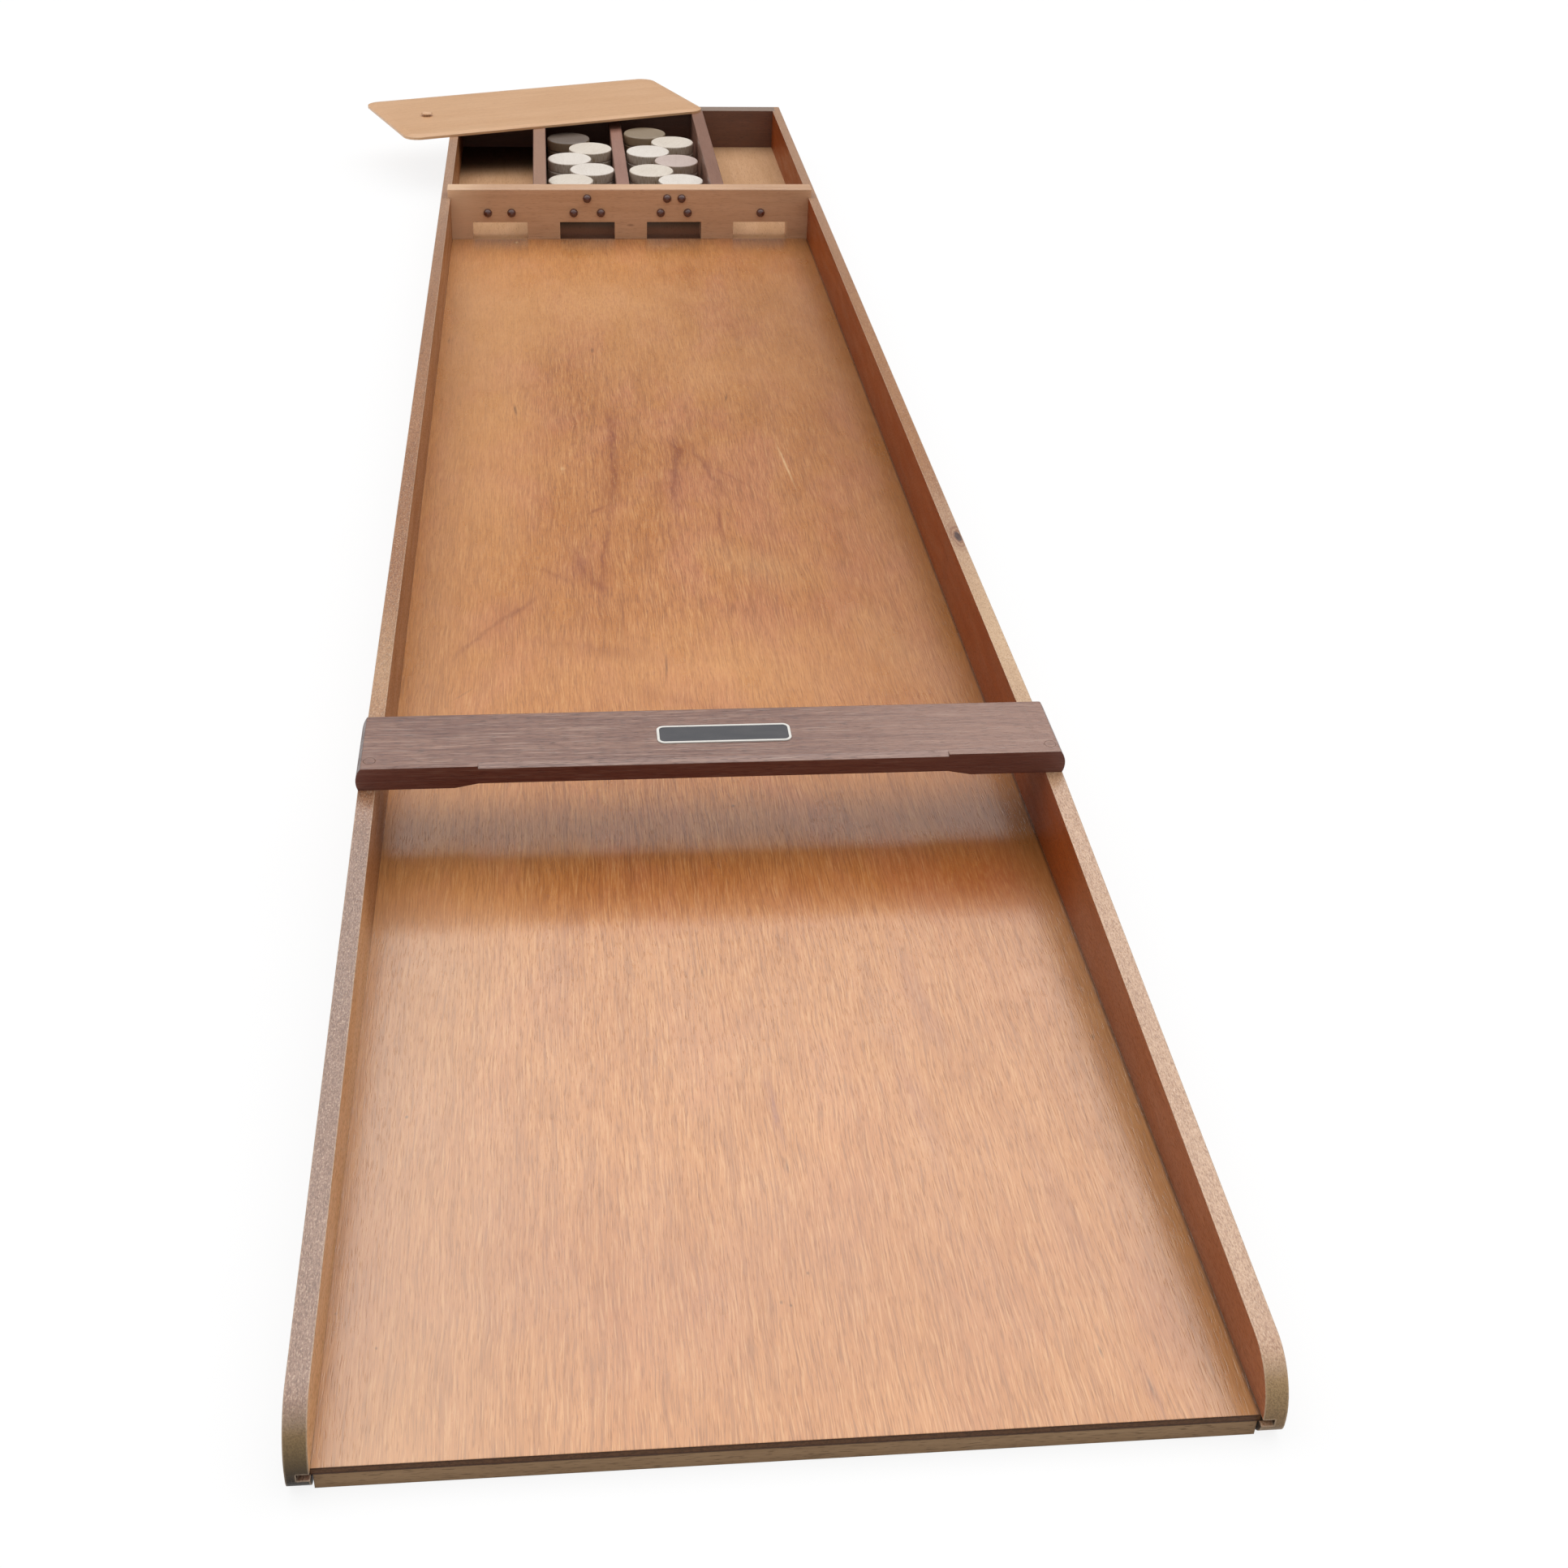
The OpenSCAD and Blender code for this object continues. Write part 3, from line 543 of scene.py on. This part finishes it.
def bar_wood():
    g = new_graph("bar_wood")
    place = grain_place(g, "x", shift=0.4)
    across = g.split(g.place())[X]
    colour, height, pores = grain(
        g, place, ("#4d2c25", "#6b4539", "#86604f", "#a27c6a"), streak=(2.0, 60), cloud=(12, 120),
        shares=(1.0, 0.6, 0.9), fine=(0.7, 14), pore=(0.5, 7), pore_share=0.6, pore_tone="#351d18")
    bleached = g.noise(place, (0.9, 26, 0.9), rough=0.7)
    colour = g.shade(colour, bleached, 0.52, 0.7, 0.4, "#b59b8c")
    colour = g.shade(colour, across, 0.0, lane_half, 0.4, "#a5806f")
    colour = worn_edges(g, colour, 0.35, "#a8806c")
    front = g.faces(Y, SHARP_CUT)
    # front face darker and redder: painted shade
    colour = g.tint(colour, g.times(front, 0.7), "#532219")
    colour = g.tint(colour, g.times(front, g.step(across, *BAR_LEFT_END, 0.0, 0.3)), "#7a5348")
    colour = g.shade(colour, g.facing(X), 0.4, 0.8, 0.75, "#3a1c16")
    varnish = g.step(g.facing(Z), *ROUND_CUT, THIN, 1.0)
    roughness = satin(g, place, SMALL_PATCH, 0.32, 0.45, pores, 0.1)
    return finish(g, colour, roughness, height, depth=0.08, coat=varnish, coat_roughness=0.25,
                  specular=g.step(varnish, 0.0, 1.0, 0.12, 0.5))


def gate_wood():
    g = new_graph("gate_wood")
    place = grain_place(g, "x", shift=0.9)
    board = g.place()
    colour, height, pores = grain(
        g, place, ("#b08560", "#c39671", "#d0a480", "#dcb28f"), streak=(3.5, 140), cloud=(20, 110),
        shares=(0.55, 0.6, 0.4), pore_share=0.25, pore_tone="#7a4a30")
    front = g.node("ShaderNodeMapping", {"Vector": board, "Rotation": (-QUARTER, 0, 0)}).outputs[0]
    knot = g.spot(wavy(g, front, (8, 8, 8), 2.0), *GATE_KNOT)
    colour = g.shade(colour, knot, 0.1, 0.6, 0.75, "#6a3d28")
    worn = g.spot(wavy(g, front, (6, 6, 6), 3.0), *GATE_WORN)
    colour = g.shade(colour, worn, 0.2, 0.8, 0.5, "#d0a07c")
    # painted light towards the gate bar's left end
    colour = g.shade(colour, g.split(board)[X], *GATE_LEFT_LIGHT, 0.6, "#f0c9a2")
    light = g.times(g.faces(Z, SHARP_CUT), g.spot(board, *GATE_LIGHT))
    colour = g.tint(colour, g.times(light, 0.5), "#f4caa4")
    colour = worn_edges(g, colour, 0.5, "#e2bb98")
    roughness = satin(g, place, SMALL_PATCH, 0.35, 0.45, pores, 0.1)
    return finish(g, colour, roughness, height, depth=0.04, coat=0.7, coat_roughness=0.25)


def pin_wood():
    g = new_graph("pin_wood")
    place = grain_place(g, "y", shift=0.3)
    colour, height, pores = grain(
        g, place, ("#3a1a12", "#532519", "#6b3325"), streak=(1.0, 8), cloud=(3, 8),
        shares=(0.6, 0.5, 0.3), pore=(0.3, 2), pore_share=0.3, pore_tone="#24100c")
    roughness = g.step(pores, 0.0, 1.0, 0.25, 0.4)
    return finish(g, colour, roughness, height, depth=0.02, coat=1.0, coat_roughness=0.12, edge=0.4)


# Box and lid
BACK_TONES = ("#583526", "#694231", "#795040")
DIVIDER_TONES = ("#754f3f", "#8e6453", "#a57a66")
LID_TURN = math.radians(20.7)


def box_wood(name, along, tones, shift, top_tone):
    """Dark wood of the box, worn to top_tone on its upper faces."""
    g = new_graph(name)
    place = grain_place(g, along, shift=shift)
    colour, height, pores = grain(
        g, place, tones, streak=(3, 100), cloud=(18, 80), shares=(0.7, 0.7, 0.45),
        pore=(0.55, 6), pore_share=0.45, pore_tone="#3a201a")
    top = g.step(g.facing(Z), *SHARP_CUT, 0.0, 0.7)
    colour = g.mix(top, colour, g.mix(0.3, rgb(top_tone), colour))
    colour = worn_edges(g, colour, 0.35, "#a98872")
    roughness = satin(g, place, SMALL_PATCH, 0.38, 0.5, pores, 0.1)
    return finish(g, colour, roughness, height, depth=0.06, coat=0.6, coat_roughness=0.3)


def lid_wood():
    g = new_graph("lid_wood")
    place = grain_place(g, "x", turn=-LID_TURN, shift=0.5)
    colour, height, pores = grain(
        g, place, ("#b98759", "#c99a6e", "#d3a77e", "#dcb38f"), streak=(5, 150), cloud=(30, 120),
        shares=(0.5, 0.55, 0.35), pore_share=0.25, pore_tone="#94643f")
    colour = worn_edges(g, colour, 0.5, "#e6c6a2")
    roughness = g.step(pores, 0.0, 1.0, 0.42, 0.55)
    return finish(g, colour, roughness, height, depth=0.04, coat=0.4, coat_roughness=0.3)


# Discs: the stacks differ in tone and in the turn of their grain, as in a used set; the dun and grey stacks
# under the lid are darker as painted shade
DISC_LOOKS = {
    "cream": dict(tones=("#c6b8a8", "#d6cbbd", "#e3dacf"), turn=2.0),
    "pale": dict(tones=("#cbc1b5", "#dbd2c8", "#e8e1d8"), turn=1.6),
    # dun and grey: darker tones, painted shade of the lid on the stacks under it
    "dun": dict(tones=("#78684f", "#887660", "#978570"), turn=1.2),
    "grey": dict(tones=("#55483f", "#64564c", "#72655a"), turn=1.6),
    "pink": dict(tones=("#b09b92", "#c0ada4", "#cdbcb4"), turn=1.6),
}
# 3f and 2e lie under the lid and take its painted shade
STACK_LOOKS = {"2a": "cream", "2b": "pale", "2c": "pale", "2d": "cream", "2e": "grey",
               "3a": "pale", "3b": "cream", "3c": "pink", "3d": "pale", "3e": "cream", "3f": "dun"}
DISC_LAYERS = (1, 2, 3)
RIB_DENSITY = 40.0  # tool marks to a radian of the rim
RIB_BREAKS = 1.5  # lengths of a tool mark that fit into the disc's height


def rim_ribs(g):
    """Upright tool marks round the rim, by the angle about each disc's own middle."""
    across, along, up = g.split(g.node("ShaderNodeTexCoord").outputs["Generated"])
    angle = g.math("ARCTAN2", g.add(along, -0.5), g.add(across, -0.5))
    round_rim = g.node("ShaderNodeCombineXYZ", {0: g.times(angle, RIB_DENSITY), 2: g.times(up, RIB_BREAKS)})
    ribs = g.node("ShaderNodeTexNoise", {"Vector": round_rim.outputs[0], "Scale": 1.0, "Detail": 2.0})
    return ribs.outputs["Fac"]


def disc_wood(name, tones, turn):
    g = new_graph(name)
    place = grain_place(g, "x", turn=turn)
    colour, height, pores = grain(
        g, place, tones, streak=(2.5, 40), cloud=(20, 30), shares=(0.5, 0.6, 0.4),
        pore=(0.4, 4), pore_share=0.25, pore_tone="#8d7a66")
    ribs = rim_ribs(g)
    rim = g.step(g.facing(Z), 0.7, 0.3)
    colour = g.tint(colour, g.times(rim, g.step(ribs, 0.35, 0.7, 0.35, 0.85)), "#8b7152")
    height = g.add(height, g.times(g.times(rim, ribs), 2.0))
    roughness = g.step(pores, 0.0, 1.0, 0.45, 0.6)
    return finish(g, colour, roughness, height, depth=0.04, coat=0.15, coat_roughness=0.3, edge=0.5)


# Blank plate and screws
def plate(name, tone, worn_tone, roughness):
    """Printed plate with light scuffs."""
    g = new_graph(name)
    place = g.place()
    scuffs = g.step(g.noise(place, (9, 0.5, 5), detail=3.0, warp=0.5), 0.56, 0.75)
    clouds = g.noise(place, (14, 6, 5), detail=3.0)
    share = g.add(g.times(scuffs, 0.35), g.step(clouds, 0.3, 0.8, 0.0, 0.25))
    colour = g.mix(share, rgb(tone), rgb(worn_tone))
    return finish(g, colour, g.add(g.times(scuffs, 0.2), roughness), scuffs, depth=0.01, edge=0.3)


def screw_steel():
    g = new_graph("screw_steel")
    rust = g.step(g.noise(g.place(), (1.5, 1.5, 1.5), detail=3.0), 0.45, 0.7)
    colour = g.mix(rust, rgb("#8a8580"), rgb("#5b4536"))
    return finish(g, colour, g.step(rust, 0.0, 1.0, 0.3, 0.6), rust, depth=0.02, metallic=1.0, edge=0.2)


def paint(material, *names):
    """Gives CAD nodes their finish."""
    for name in names:
        for material_slot in nodes[name].material_slots:
            material_slot.material = material


def paint_board():
    paint(lane_plywood(), "floor_panel")
    paint(box_plywood(), "box_floor")
    for side, rail in RAILS.items():
        paint(rail_wood(side, rail), "rail_" + side)
    paint(batten_wood(), "batten_front", "batten_middle", "batten_rear")
    paint(bar_wood(), "cross_bar", "cross_bar_plugs")
    paint(screw_steel(), "cross_bar_screws")
    paint(plate("plate_white", "#dcd9d3", "#bdb8b0", 0.4), "badge_plate")
    paint(plate("plate_grey", "#3f3f43", "#5c5a5a", 0.35), "badge_field")
    paint(gate_wood(), "gate_bar")
    paint(pin_wood(), "pins_gate_a", "pins_gate_b", "pins_gate_c", "pins_gate_d")
    paint(box_wood("box_wood_back", "x", BACK_TONES, 0.1, "#a09080"), "back_wall")
    paint(box_wood("box_wood_left", "y", DIVIDER_TONES, 0.6, "#a87e5f"), "divider_left")
    paint(box_wood("box_wood_middle", "y", DIVIDER_TONES, 0.8, "#9e7060"), "divider_middle")
    paint(box_wood("box_wood_right", "y", DIVIDER_TONES, 1.0, "#74421e"), "divider_right")
    paint(lid_wood(), "lid", "lid_knob")


def paint_discs():
    materials = {name: disc_wood("disc_wood_" + name, **looks) for name, looks in DISC_LOOKS.items()}
    for stack, look in STACK_LOOKS.items():
        for layer in DISC_LAYERS:
            paint(materials[look], f"puck_{stack}{layer}")


paint_board()
paint_discs()


# Studio: white floor, and a large soft window of light, fullest high behind the board
FLOOR_SIZE = 14.0
FLOOR_DROP = 0.0002  # below the ground, so that no face lies in the floor
FLOOR_GREY = (0.88, 0.88, 0.88, 1)
FLOOR_GLOW = 0.85  # share of plain white in the floor that shows
WINDOW_LIGHT = 2.35
ROOM_LIGHT = 0.15  # from everywhere else
FRONT_LIGHT = 0.42  # from the camera's side
# edges of the window as slopes, run over rise, along X and Y: from where it is dark to where it is full
WINDOW_LEFT = (-4.1, -0.25)
WINDOW_RIGHT = (4.1, 0.3)
WINDOW_NEAR = (-1.55, 1.0)
WINDOW_FAR = (1.45, 1.25)
LOWEST_RISE = 0.03  # keeps the slopes finite at the horizon


def make_floor():
    half = FLOOR_SIZE / 2
    mesh = bpy.data.meshes.new("studio_floor")
    corners = [(-half, -half), (half, -half), (half, half), (-half, half)]
    mesh.from_pydata([(x, y, -FLOOR_DROP) for x, y in corners], [], [(0, 1, 2, 3)])
    floor = bpy.data.objects.new("studio_floor", mesh)
    scene.collection.objects.link(floor)
    g = new_graph("studio_floor")
    matt = g.node("ShaderNodeBsdfDiffuse", {"Color": FLOOR_GREY}).outputs[0]
    glow = g.node("ShaderNodeEmission", {"Color": WHITE, "Strength": 1.0}).outputs[0]
    path = g.node("ShaderNodeLightPath").outputs
    reflected = g.math("MAXIMUM", path["Is Glossy Ray"], path["Is Transmission Ray"])
    seen = g.math("MAXIMUM", path["Is Camera Ray"], reflected)
    surface = g.node("ShaderNodeMixShader", {0: g.times(seen, FLOOR_GLOW), 1: matt, 2: glow})
    g.node("ShaderNodeOutputMaterial", {"Surface": surface.outputs[0]})
    mesh.materials.append(g.material)


def make_world():
    world = bpy.data.worlds.new("studio")
    scene.world = world
    world.use_nodes = True
    g = Graph(world.node_tree)
    x, y, z = g.split(g.node("ShaderNodeTexCoord").outputs["Generated"])
    rise = g.math("MAXIMUM", z, LOWEST_RISE)
    across = g.math("DIVIDE", x, rise)
    along = g.math("DIVIDE", y, rise)
    window = g.times(g.step(across, *WINDOW_LEFT), g.step(across, *WINDOW_RIGHT))
    window = g.times(window, g.times(g.step(along, *WINDOW_NEAR), g.step(along, *WINDOW_FAR)))
    front = g.times(g.math("MAXIMUM", g.times(y, -1.0), 0.0), FRONT_LIGHT)
    glow = g.add(g.add(g.times(window, WINDOW_LIGHT - ROOM_LIGHT), ROOM_LIGHT), front)
    light = g.node("ShaderNodeBackground", {"Color": WHITE, "Strength": glow}).outputs[0]
    white = g.node("ShaderNodeBackground", {"Color": WHITE, "Strength": 1.0}).outputs[0]
    path = g.node("ShaderNodeLightPath").outputs
    seen = g.math("MAXIMUM", path["Is Camera Ray"], path["Is Transmission Ray"])
    surface = g.node("ShaderNodeMixShader", {0: seen, 1: light, 2: white})
    g.node("ShaderNodeOutputWorld", {"Surface": surface.outputs[0]})


make_floor()
make_world()
